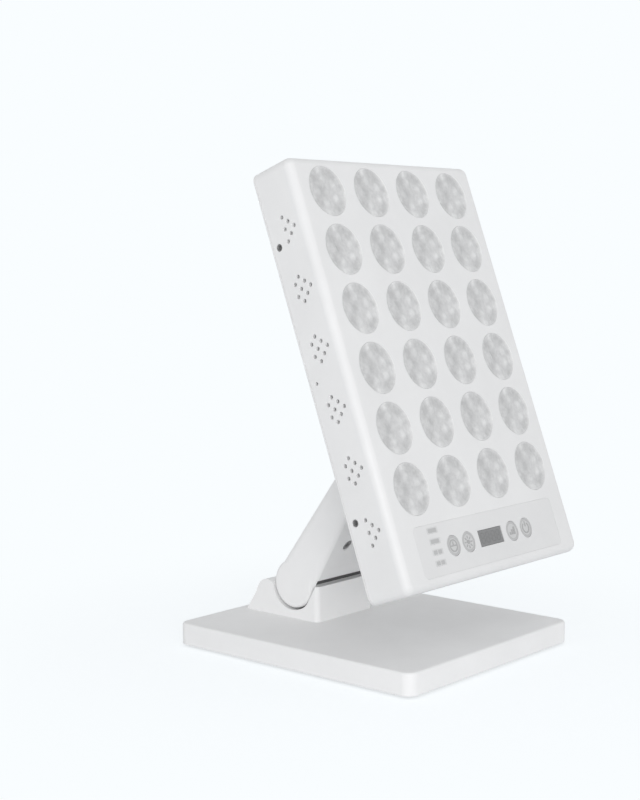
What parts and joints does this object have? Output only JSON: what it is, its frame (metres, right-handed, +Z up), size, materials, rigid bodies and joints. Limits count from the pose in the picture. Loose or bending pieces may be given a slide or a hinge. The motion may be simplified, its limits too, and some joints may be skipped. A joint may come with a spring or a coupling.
{
  "type": "tabletop red light therapy panel",
  "caption": "Flat rectangular lamp head with a grid of round lenses and a control strip, tilting on a leaning arm over a weighted base.",
  "frame": {"origin": "on the table under the middle of the base", "axes": "+X to the right of a person who faces the lenses, -Y towards that person, +Z up"},
  "size_m": [0.217, 0.2293, 0.3704],
  "materials": {
    "white_shell": "fine satin, moulded",
    "white_sheet": "powder coat, fine grain",
    "lens": "moulded optical plastic, pale grey",
    "key": "satin",
    "control_strip": "satin film",
    "display": "smoked window",
    "led_board": "white solder mask on a metal core",
    "circuit_board": "solder mask",
    "heat_sink": "extruded, matt",
    "supply_case": "bent sheet",
    "black_plastic": "satin",
    "steel": "zinc plated",
    "rubber_foot": "matt"
  },
  "bodies": {
    "base": {"base_cover": "white_shell", "base_weight": "steel", "rubber_foot_front_left": "rubber_foot", "rubber_foot_front_right": "rubber_foot", "rubber_foot_rear_left": "rubber_foot", "rubber_foot_rear_right": "rubber_foot", "hinge_foot": "white_shell", "lean_washer_left": "steel", "lean_washer_right": "steel"},
    "arm": {"arm_shell": "white_shell", "arm_cover": "white_shell", "arm_cover_screw_left": "steel", "arm_cover_screw_right": "steel", "lean_pin": "steel"},
    "panel": {"tilt_bracket": "white_sheet", "tilt_bolt": "steel", "tilt_nut": "steel", "tilt_washer_left": "steel", "tilt_washer_right": "steel", "front_housing": "white_shell", "rear_cover": "white_sheet", "lens_1_1": "lens", "lens_1_2": "lens", "lens_1_3": "lens", "lens_1_4": "lens", "lens_2_1": "lens", "lens_2_2": "lens", "lens_2_3": "lens", "lens_2_4": "lens", "lens_3_1": "lens", "lens_3_2": "lens", "lens_3_3": "lens", "lens_3_4": "lens", "lens_4_1": "lens", "lens_4_2": "lens", "lens_4_3": "lens", "lens_4_4": "lens", "lens_5_1": "lens", "lens_5_2": "lens", "lens_5_3": "lens", "lens_5_4": "lens", "lens_6_1": "lens", "lens_6_2": "lens", "lens_6_3": "lens", "lens_6_4": "lens", "led_board": "led_board", "heat_sink": "heat_sink", "power_supply": "supply_case", "fan_frame": "black_plastic", "control_plate": "control_strip", "control_board": "circuit_board", "display": "display", "power_inlet": "black_plastic", "rocker_frame": "black_plastic"},
    "key_timer": {"key_timer": "key"},
    "key_mode": {"key_mode": "key"},
    "key_level": {"key_level": "key"},
    "key_power": {"key_power": "key"},
    "rocker": {"rocker": "black_plastic"},
    "fan_rotor": {"fan_rotor": "black_plastic"}
  },
  "joints": [
    {"name": "arm_lean", "type": "hinge", "parent": "base", "child": "arm", "pos_m": [0, 0.055, 0.0452], "axis": [1, 0, 0], "range_deg": [-45, 3]},
    {"name": "panel_tilt", "type": "hinge", "parent": "arm", "child": "panel", "pos_m": [0, -0.02148, 0.16365], "axis": [1, 0, 0], "range_deg": [-60, 50]},
    {"name": "key_timer_press", "type": "slide", "parent": "panel", "child": "key_timer", "axis": [0, 0.9379, -0.3469], "range_m": [0, 0.0008], "stiffness_N_per_m": 800, "springref_m": -0.0004},
    {"name": "key_mode_press", "type": "slide", "parent": "panel", "child": "key_mode", "axis": [0, 0.9379, -0.3469], "range_m": [0, 0.0008], "stiffness_N_per_m": 800, "springref_m": -0.0004},
    {"name": "key_level_press", "type": "slide", "parent": "panel", "child": "key_level", "axis": [0, 0.9379, -0.3469], "range_m": [0, 0.0008], "stiffness_N_per_m": 800, "springref_m": -0.0004},
    {"name": "key_power_press", "type": "slide", "parent": "panel", "child": "key_power", "axis": [0, 0.9379, -0.3469], "range_m": [0, 0.0008], "stiffness_N_per_m": 800, "springref_m": -0.0004},
    {"name": "rocker_flip", "type": "hinge", "parent": "panel", "child": "rocker", "pos_m": [0.04025, -0.07497, 0.08652], "axis": [-1, 0, 0], "range_deg": [0, 18]},
    {"name": "fan_spin", "type": "hinge", "parent": "panel", "child": "fan_rotor", "pos_m": [0, -0.01231, 0.27392], "axis": [0, 0.9379, -0.3469], "continuous": true}
  ]
}
